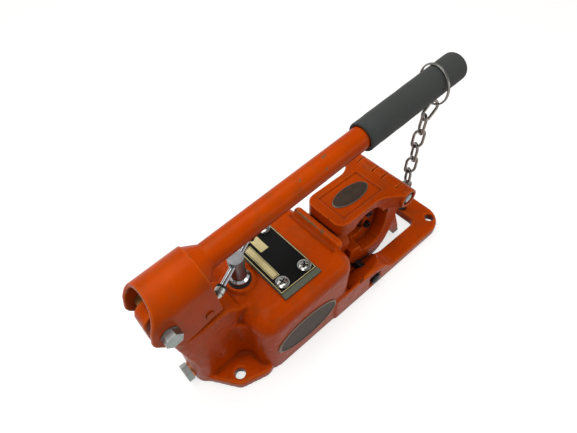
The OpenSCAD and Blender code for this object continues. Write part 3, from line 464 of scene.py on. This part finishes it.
for name, wire, turns, joint, fixed_x, travel in (("return_spring", 3, 8, "ram_slide", -10, 32),
                                                  ("outlet_spring", 0.9, 5, "outlet_lift", -135, 2),
                                                  ("inlet_spring", 0.7, 5, "inlet_lift", -120, 2)):
    low, high, centre = span(name)[:3]
    coil = surface(name + "_coil", [spring_coil(name, wire, turns)], steel, "frame")
    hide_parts(name)
    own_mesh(coil)


# The reservoir's cover is a pressed plate in olive-grey paint, and the nameplate on it is black
# anodised aluminium with a gold border and blank gold fields. Four pan-head screws hold both.
def olive_paint():
    """Olive-grey sprayed paint: two close tones, half matt, with faint orange peel."""
    made, tree, place = finish("olive_cover_paint")
    return coated(made, {"Base Color": mottled(tree, place, 9, "#4a4f40", "#5b6150"),
                         "Roughness": uneven(tree, place, 5, 0.42, 0.58),
                         "Normal": rippled(tree, place, 1.2, 0.03, 0.6), "IOR": 1.48})


def black_anodised():
    """Black anodised aluminium: deep black with a brushed grain along its length. The real grain is too
    fine to show, so its lines are drawn 0.5 mm apart and 15 mm long."""
    made, tree, place = finish("black_anodised_plate")
    across, along = 1 / (0.5 * MM), 1 / (15 * MM)
    grain = add(tree, "Mapping", {"Vector": place, "Scale": (across, along, across)})
    brush = add(tree, "TexNoise", {"Vector": grain, "Scale": 1, "Detail": 3})
    return coated(made, {
        "Base Color": add(tree, "MixRGB", {0: brush, 1: linear("#020202"), 2: linear("#0a0a09")}),
        "Roughness": add(tree, "MapRange", {"Value": brush, "To Min": 0.4, "To Max": 0.55}),
        "IOR": 1.5, "Specular IOR Level": 0.12})


def gold_anodised():
    """The gold that shows where the black dye was kept off: a pale brassy satin."""
    made, tree, place = finish("gold_anodised_field")
    return coated(made, {"Base Color": mottled(tree, place, 3, "#b8a870", "#d2c694"),
                         "Roughness": uneven(tree, place, 1, 0.35, 0.5), "Metallic": 0.3})


dress(node["reservoir_cover"], olive_paint())
dress(node["nameplate"], black_anodised())
plate_low, plate_high = span("nameplate")[:2]
plate_l, plate_w = (plate_high - plate_low)[:2] / MM
plate_top = plate_high[2]
gold_t = 0.06 * MM


def gold_field(x0, x1, y0, y1):
    """A flat gold field on the nameplate, in millimetres from its low corner: a rectangle walked round on
    the plate and again at the gold's top, each closed to its own middle."""
    ring = np.array([(x0, y0), (x1, y0), (x1, y1), (x0, y1)]) * MM + plate_low[:2]
    middle = np.broadcast_to(ring.mean(0), ring.shape)
    rows = [(middle, plate_top), (ring, plate_top), (ring, plate_top + gold_t), (middle, plate_top + gold_t)]
    return np.stack([np.column_stack([xy, np.full(4, z)]) for xy, z in rows])


def gold_line(x0, x1, y0, y1, width):
    """A gold line round a rectangle, as four flat fields."""
    return [gold_field(x0, x1, y0, y0 + width), gold_field(x0, x1, y1 - width, y1),
            gold_field(x0, x0 + width, y0 + width, y1 - width),
            gold_field(x1 - width, x1, y0 + width, y1 - width)]


edge_gap, border_w, line_w = 0.5, 0.8, 0.7
border = gold_line(edge_gap, plate_l - edge_gap, edge_gap, plate_w - edge_gap, border_w)
long_field = gold_line(4.4, 13.2, 18.5, 66.5, line_w) + [gold_field(5.7, 11.9, 19.8, 65.2)]
short_field = [gold_field(16.6, 26.8, 52, 71.5)]
surface("nameplate_fields", border + long_field + short_field, gold_anodised(), "frame")


# Pan-head screws with a cross recess, zinc plated. The head is a low dome, and the cross is sunk
# where its four arms meet the dome, deepest at the centre. The cross is painted dark as shade.
def dome(r):
    """The height of a screw's head at r, in head radii: it falls by the fourth power of r, by 42%."""
    return head_h * (1 - 0.42 * r ** 4)


def pan_head(x, y, spin):
    """A screw from above as rings: radius u and angle v. Its top is the dome, less a cross whose depth
    is smooth across each arm and goes from 2.3 mm at the centre to nothing at 0.6 of the radius. Below
    the rim follow the seat and the plain shank, 13 mm long."""
    angle = np.linspace(0, 2 * math.pi, 96, endpoint=False)
    r = np.concatenate([np.linspace(0.01, 0.62, 26), np.linspace(0.65, 1, 12)])[:, None]
    px, py = r * np.cos(angle - spin), r * np.sin(angle - spin)
    arm = np.maximum(np.exp(-(px / arm_half) ** 4), np.exp(-(py / arm_half) ** 4))
    sink = arm * np.clip((0.6 - r) / 0.12, 0, 1) * (2.3 - 1.6 * r) * MM
    height = dome(r) - sink
    below = ((1, 0.35 * head_h), (0.985, 0), (shank, 0), (shank, -13 * MM), (0.01, -13 * MM))
    r = np.concatenate([r, np.array(below)[:, :1]])
    height = np.concatenate([height, np.array(below)[:, 1:] + 0 * angle])
    return np.stack([x + head_r * r * np.cos(angle), y + head_r * r * np.sin(angle), plate_top + height], -1)


def metal_with_painted_shade(name, first, second):
    """A bright metal, painted nearly black as shade where the attribute sunk says 1: in a screw's cross,
    round a pin.
    """
    made, tree, place = finish(name)
    sunk = add(tree, "Attribute", attribute_name="sunk").outputs["Fac"]
    dark = add(tree, "MapRange", {"Value": sunk, "From Min": 0.15, "From Max": 0.75, "To Max": 0.97})
    return coated(made, {
        "Base Color": add(tree, "MixRGB", {0: dark, 1: mottled(tree, place, 4, first, second),
                                           2: linear("#141311")}),
        "Roughness": add(tree, "MapRange", {"Value": sunk, "To Min": 0.2, "To Max": 0.6}),
        "Metallic": 1.0})


head_r, head_h = 7.25 * MM, 3.6 * MM
arm_half, shank = 0.085, 0.42
low, high = span("cover_screws")[:2]
screw_x = np.array([low[0] + head_r, high[0] - head_r])
screw_y = np.array([low[1] + head_r, high[1] - head_r])
places = [(x, y) for x in screw_x for y in screw_y]
heads = [pan_head(x, y, spin) for (x, y), spin in zip(places, (0.3, 1.1, 0.75, 0.5))]
screws = surface("cover_screw_set", heads, metal_with_painted_shade("zinc_plate_with_painted_shade", "#8f908c", "#c2c3bd"),
                 "frame")
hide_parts("cover_screws")
# The attribute sunk paints shade into the cross, darker the deeper it lies.
points = points_of(screws)
off = [np.abs(points[:, axis, None] - rows).min(1) for axis, rows in ((0, screw_x), (1, screw_y))]
reach = np.hypot(*off) / head_r
depth = plate_top + dome(reach) - points[:, 2]
store(screws, "sunk", np.where(reach < 0.7, np.clip(depth / (0.9 * MM), 0, 1), 0))


# The oval badges are thin cast plates with a raised rim: one lies in the gate's panel and one on each
# side of the housing. They are sprayed dark, their fields are bare, and their rims are rubbed.
def badge_finish():
    """Cast badge plate: a dark sprayed field, and a raised rim where the attribute rim says 1, rubbed
    back to dull bare metal."""
    made, tree, place = finish("cast_badge")
    rim = add(tree, "Attribute", attribute_name="rim").outputs["Fac"]
    field = mottled(tree, place, 6, "#342c27", "#524237", detail=5)
    return coated(made, {"Base Color": add(tree, "MixRGB", {0: rim, 1: field, 2: linear("#7a6d61")}),
                         "Metallic": add(tree, "MapRange", {"Value": rim, "To Max": 0.7}),
                         "Roughness": uneven(tree, place, 2, 0.38, 0.56),
                         "Normal": rippled(tree, place, 1.4, 0.06, 0.7),
                         "IOR": 1.48, "Specular IOR Level": 0.12})


def oval_badge(at, along, across, out, half_l, half_w, thick):
    """An oval plate on a plane through at: radius u and angle v. Its height is a flat field, a step up to
    the rim over a twentieth of the radius, a rounded outer edge, and the wall down to the back."""
    angle = np.linspace(0, 2 * math.pi, 144, endpoint=False)[:, None]
    at, along, across, out = (np.array(v, float) for v in (at, along, across, out))
    radius_height = [(0.01, 0.55), (0.3, 0.56), (0.6, 0.56), (0.86, 0.56), (0.905, 0.58), (0.93, 0.86),
                     (0.94, 0.96), (0.955, 1.0), (0.97, 0.98), (0.985, 0.88), (1.0, 0.66), (1.0, 0.0),
                     (0.01, 0.0)]
    return np.stack([r * half_l * np.cos(angle) * along + r * half_w * np.sin(angle) * across
                     + at + h * thick * out for r, h in radius_height])


def rim_of(piece, centres, axes, half_l, half_w):
    """Stores 1 on a badge's rim and 0 on its field, from how far out each point lies on the oval."""
    away = points_of(piece)[:, None] - np.array(centres)[None]
    along, across = np.array(axes, float)
    r = np.hypot(away @ along / half_l, away @ across / half_w).min(1)
    store(piece, "rim", np.clip((r - 0.93) / 0.02, 0, 1))


cast_badge = badge_finish()
low, high, centre, half = span("gate_badge")
foot = (centre[0], centre[1], low[2])
oval = oval_badge(foot, (1, 0, 0), (0, 1, 0), (0, 0, 1), half[0], half[1], 2 * half[2])
plate = surface("gate_badge_oval", [oval], cast_badge, "gate")
rim_of(plate, [foot], [(1, 0, 0), (0, 1, 0)], half[0], half[1])
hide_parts("gate_badge")
low, high, centre, half = span("side_badges")
badge_t = 1.2 * MM
feet = [(centre[0], low[1] + badge_t, centre[2]), (centre[0], high[1] - badge_t, centre[2])]
ovals = [oval_badge(foot, (1, 0, 0), (0, 0, 1), (0, math.copysign(1, foot[1]), 0), half[0], half[2], badge_t)
         for foot in feet]
plates = surface("side_badge_ovals", ovals, cast_badge, "frame")
rim_of(plates, feet, [(1, 0, 0), (0, 0, 1)], half[0], half[2])
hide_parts("side_badges")


# The release valve: a collar in the housing's top on a black gasket, its spindle through it, and a
# sliding T-bar with a zinc plated screw at each end. Collar and bar are turned, polished and chromed,
# and the spindle's chrome is left brushed.
def smooth_metal(name, first, second, roughness):
    """Plated or polished metal: a clear metal tone that changes a little from place to place."""
    made, tree, place = finish(name)
    return coated(made, {"Base Color": mottled(tree, place, 5, first, second),
                         "Roughness": uneven(tree, place, 3, roughness - 0.05, roughness + 0.09),
                         "Normal": rippled(tree, place, 2, 0.02, 0.4), "Metallic": 1.0})


chrome = smooth_metal("chrome_plate", "#a2a4a8", "#c0c2c6", 0.12)
dress(node["valve_collar"], chrome)
dress(node["t_bar"], chrome)
dress(node["t_bar_screws"], smooth_metal("zinc_plate", "#a9aaa6", "#c6c6bf", 0.3))
dress(node["valve_spindle"], smooth_metal("brushed_chrome_spindle", "#6f6f70", "#8b8c8e", 0.36))


# The handle's bracket is bent from 4 mm sheet, and the tube is welded into its pressed-in front. A
# cross pin joins it to the plunger. All are sprayed orange, and the paint is rubbed through in three
# spots on the tube.
sheet_paint = enamel("sheet_steel_enamel", 22, 0.12, 0.42,
                     rubbed=[((-2.8, 0, 198.5), (4, 1.6, 4)), ((-8.4, -9.9, 193.3), (2, 1.4, 2)),
                             ((-37.6, -4.6, 194.6), (1.6, 1.6, 2))])
skin("handle_bracket", 0.7, 1.5, sheet_paint)
dress(node["handle_tube"], sheet_paint)
dress(node["cross_pin"], sheet_paint)
tilt = math.radians(5.1)
pivot = np.array([-201, 0, 147]) * MM
handle_x = np.array([math.cos(tilt), 0, math.sin(tilt)])
handle_z = np.array([-math.sin(tilt), 0, math.cos(tilt)])
tube_r, tube_h = 12.7, 21


def on_handle(x, y, z):
    """Points in millimetres from the pivot, with x along the tube and z square to it, in the frame."""
    x, y, z = (v[..., None] for v in np.broadcast_arrays(x, y, z))
    return pivot + MM * (x * handle_x + y * np.array([0, 1, 0]) + z * handle_z)


def weld_gusset():
    """The pressed-in front of the bracket and its weld to the tube: angle u about the tube, from side to
    side over the top, and v from the bracket's outline straight down to the tube, then back inside the
    tube's wall. The outline is the bracket's crown, a circle of 24 mm whose centre lies 5.3 mm lower."""
    crown_r, crown_drop = 24, 5.3
    inner_x, rim_x, toe_x, end_x = 45, 47.8, 60.5, 61.2
    sunk, proud = 0.6, 0.35
    u = np.radians(np.linspace(-98, 98, 90))
    sin, cos = np.sin(u), np.cos(u)
    crown = np.sqrt(crown_r ** 2 - (crown_drop * sin) ** 2) - crown_drop * cos
    ripple = 0.1 * np.sin(u * 17 + 2 * np.sin(u * 5)) + 0.05 * np.sin(u * 37 + 1)
    rows = [(inner_x, crown - 1)]
    for t in np.linspace(0, 1, 14):
        taper = (crown - sunk) * (1 - t) + (tube_r + proud) * t
        rows.append((rim_x + (toe_x - rim_x) * t, taper + ripple * math.sin(math.pi * t)))
    rows += [(end_x, tube_r - sunk), (inner_x, tube_r - sunk)]
    grid = np.stack([on_handle(x, r * sin, tube_h + r * cos) for x, r in rows], 1)
    first, last = (np.broadcast_to(side.mean(1, keepdims=True), side.shape) for side in (grid[:1], grid[-1:]))
    return np.concatenate([first, grid, last])


gusset = surface("bracket_front_weld", [weld_gusset()], sheet_paint, "handle")
mark_edges(gusset, 1, 1)


# The grip is a sleeve of black closed-cell rubber foam, stretched over the tube's far end. Its inner
# end flares clear of the tube and its tip is rounded.
def foam_rubber():
    """Closed-cell rubber foam: grey-black and matt, with fine open cells that catch a soft light."""
    made, tree, place = finish("closed_cell_foam")
    grain = add(tree, "TexNoise", lumps(place, 1.1, 4))
    tone = add(tree, "MixRGB", {0: grain, 1: linear("#1b1e1d"), 2: linear("#303433")})
    cloud = uneven(tree, place, 24, 0, 0.35)
    return coated(made, {
        "Base Color": add(tree, "MixRGB", {0: cloud, 1: tone, 2: linear("#3e4341")}),
        "Normal": add(tree, "Bump", {"Height": grain, "Distance": 0.25 * MM, "Strength": 0.7}),
        "Roughness": 0.86, "IOR": 1.45, "Sheen Weight": 0.12, "Sheen Roughness": 0.6})


def grip_sleeve():
    """The grip as a turned profile, u along it and v round the tube: a flared lip at the inner end that
    stands clear of the tube, a straight run with the low swells of stretched foam, and a round tip."""
    x0, x1, r0, r1, bore, bore_l = 252, 404.4, 16.35, 16.7, 13.2, 9
    lip_l, lip_r, tip = 1.7, 1.6, 4
    v = np.linspace(0, 2 * math.pi, 120, endpoint=False)
    lip = np.radians(np.linspace(0, 180, 9))
    run = np.linspace(x0 + 3.5, x1 - tip, 110)
    end = np.radians(np.linspace(8, 82, 9))
    waist = 0.25 * np.exp(-((run - x0 - 14) / 6) ** 2)
    x = np.concatenate([[x0 + bore_l], x0 + lip_l * (1 - np.sin(lip)), run,
                        x1 - tip + tip * np.sin(end), [x1, x1]])[:, None]
    r = np.concatenate([[bore], bore + lip_r * (1 - np.cos(lip)),
                        r0 + (r1 - r0) * (run - x0) / (x1 - x0) - waist,
                        r1 - tip + tip * np.cos(end), [8, 0.05]])[:, None]
    swell = 0.07 * np.sin(x * 0.21 + 1.2 * np.sin(2 * v)) + 0.05 * np.sin(3 * v + x * 0.09)
    r = r + np.where((r > 14.9) & (x < x1 - 3), swell, 0)
    return on_handle(x, r * np.cos(v), tube_h + r * np.sin(v))


grip = surface("foam_grip_sleeve", [grip_sleeve()], foam_rubber(), "handle")
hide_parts("handle_grip")


# The pivot bolt, its nut and washers and the neck's hexagon plug are steel with a dull zinc plate. The
# sleeve that the bracket turns on is oiled bronze, and the plug seals on a copper washer.
dull_zinc = smooth_metal("dull_zinc_plate", "#777c7a", "#9ba19e", 0.34)
for name in ("pivot_bolt", "pivot_nut", "pivot_washers", "rear_plug"):
    dress(node[name], dull_zinc)
dress(node["pivot_sleeve"], smooth_metal("oiled_bronze", "#8d6a3c", "#a9834e", 0.38))
dress(node["plug_washer"], smooth_metal("copper_washer", "#a8643f", "#bf7a52", 0.36))


# The gate's hinge pin is a turned steel pin with a domed button at each end, polished by use. The
# buttons sit in the counterbores of the knuckles, and the outer ring of each dome and its wall are painted
# dark as shade.
def button_pin():
    """The pin's profile carried round its axis: u along it and v round it. Each button is a short wall
    and a dome that falls by about the square of the radius."""
    centre, half = span("hinge_pin")[2:] / MM
    seat = half[1] - 1.95
    radius_reach = np.array([(0.02, 44.8), (1.5, 44.75), (3, 44.6), (4.5, 44.3), (5.6, 44), (6.5, 43.7),
                             (7.1, 43.4), (7.4, 43), (7.4, seat), (6, seat), (6, 20)])
    mirrored = radius_reach * (1, -1)
    r, y = np.concatenate([mirrored, radius_reach[::-1]])[:, :, None].transpose(1, 0, 2)
    v = np.linspace(0, 2 * math.pi, 64, endpoint=False)
    return MM * np.stack([centre[0] + r * np.cos(v), centre[1] + y + 0 * v, centre[2] + r * np.sin(v)], -1)


pin = surface("hinge_pin_with_buttons", [button_pin()],
              metal_with_painted_shade("polished_steel_with_painted_shade", "#6c7075", "#a4a8ac"), "gate")
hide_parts("hinge_pin")
# Painted shade: dark from 4.9 mm out from the pin's axis, full at 5.8 mm.
off = points_of(pin) - span("hinge_pin")[2]
store(pin, "sunk", np.clip((np.hypot(off[:, 0], off[:, 2]) / MM - 4.9) / 0.9, 0, 1))


# The keeper is a split ring of spring wire, wound nearly two turns and passed over the grip. The chain
# that hangs from it has links of plain steel wire, gone dark, with pale patches that are partly rubbed bright
# and partly painted glints.
def keeper_coil():
    """Wire wound 1.93 turns: angle u along the wire and v round it. The two turns lie side by side, a
    wire apart along the ring's own axis, and each end is closed to a point."""
    wire_r, ring_r, side_by_side, first_end = 1.06, 22.05, 1.08, 2.4
    ring_x, ring_h = 367.3, 17.4
    turn, lean = math.radians(-11.6), math.radians(97)
    spin = np.array([[math.cos(turn), -math.sin(turn), 0], [math.sin(turn), math.cos(turn), 0], [0, 0, 1]])
    nod = np.array([[math.cos(lean), 0, math.sin(lean)], [0, 1, 0], [-math.sin(lean), 0, math.cos(lean)]])
    u = np.linspace(0, 1.93 * 2 * math.pi, 260)[:, None]
    v = np.linspace(0, 2 * math.pi, 18, endpoint=False)
    thick = wire_r * np.clip(np.minimum(u, u[-1] - u) / 0.03, 0, 1) ** 0.5
    out = ring_r + thick * np.cos(v)
    rise = side_by_side * (2 * u / u[-1] - 1) + thick * np.sin(v)
    ring = np.stack([out * np.cos(u + first_end), out * np.sin(u + first_end), rise], -1) @ (spin @ nod).T
    return on_handle(ring_x + ring[..., 0], ring[..., 1], ring_h + ring[..., 2])


coil = surface("keeper_ring_coil", [keeper_coil()],
               smooth_metal("ring_spring_steel", "#6f6e6b", "#8f8d88", 0.3), "keeper")
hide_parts("keeper_ring")
# The chain's pale patches are partly painted glints.
dress(node["chain"], smooth_metal("chain_steel", "#4c4743", "#a39c95", 0.26))
